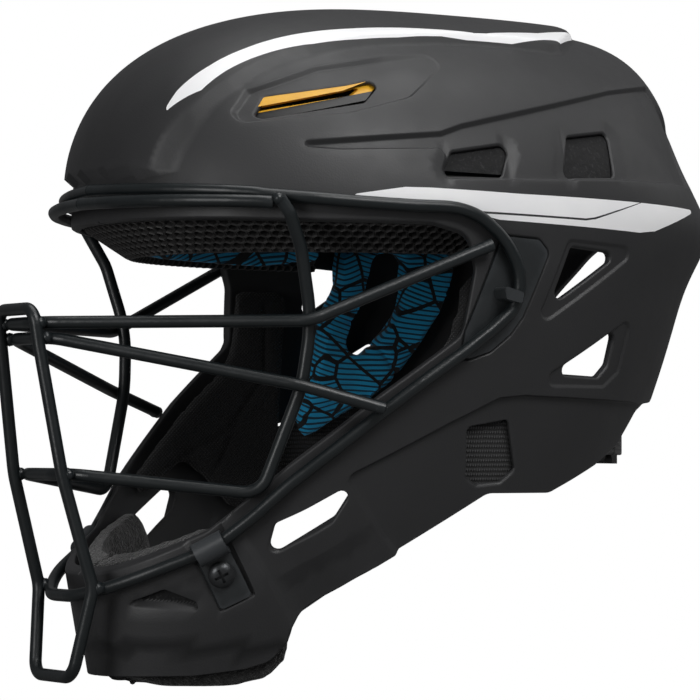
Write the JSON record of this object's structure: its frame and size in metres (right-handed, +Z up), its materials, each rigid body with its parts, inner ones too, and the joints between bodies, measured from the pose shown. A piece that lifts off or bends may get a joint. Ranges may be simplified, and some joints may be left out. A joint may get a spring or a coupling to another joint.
{
  "type": "catcher helmet",
  "caption": "One-piece catcher's helmet: dark moulded shell with ridge and vents, welded wire face cage, chin cup, blue liner pads and a sliding back plate",
  "frame": {"origin": "On the middle plane, on the line through the wearer's ears, in the middle of the head cavity", "axes": "+Z up as worn, -Y forward through the face cage, +X to the wearer's left"},
  "size_m": [0.2064, 0.3063, 0.2679],
  "materials": {
    "shell": "moulded impact plastic, fine matte",
    "wire": "vinyl-coated steel wire",
    "steel": "black-coated steel",
    "clip": "moulded plastic",
    "insert": "moulded plastic, gold",
    "foam": "hard impact foam",
    "honeycomb": "moulded foam with a honeycomb skin",
    "liner_fabric": "blue knitted comfort fabric",
    "dark_fabric": "dark brushed fabric",
    "elastic": "woven elastic"
  },
  "bodies": {
    "helmet": {"shell": "shell", "cage_perimeter_bar": "wire", "cage_brim_bar": "wire", "cage_side_bar": "wire", "cage_upper_bar": "wire", "cage_middle_bar": "wire", "cage_nose_bar": "wire", "chin_clip_left": "clip", "chin_clip_right": "clip", "clip_screws": "steel", "clip_nuts": "steel", "ear_plate_left": "clip", "ear_plate_right": "clip", "vent_insert_left": "insert", "vent_insert_right": "insert", "front_liner": "foam", "rear_liner": "foam", "brow_pad": "honeycomb", "brow_comfort_pad": "liner_fabric", "crown_pad": "liner_fabric", "ear_pad_left": "liner_fabric", "ear_pad_right": "liner_fabric", "jaw_pad_left": "dark_fabric", "jaw_pad_right": "dark_fabric", "chin_pad": "dark_fabric", "side_strap_left": "elastic", "side_strap_right": "elastic", "strap_anchor_left": "clip", "strap_anchor_right": "clip"},
    "nape": {"back_plate": "clip", "back_plate_pad": "dark_fabric"}
  },
  "joints": [
    {"name": "back_plate_slide", "type": "slide", "parent": "helmet", "child": "nape", "axis": [0, 1, 0], "range_m": [0, 0.012], "stiffness_N_per_m": 150, "springref_m": -0.02, "deforming": ["side_strap_left", "side_strap_right"]}
  ]
}
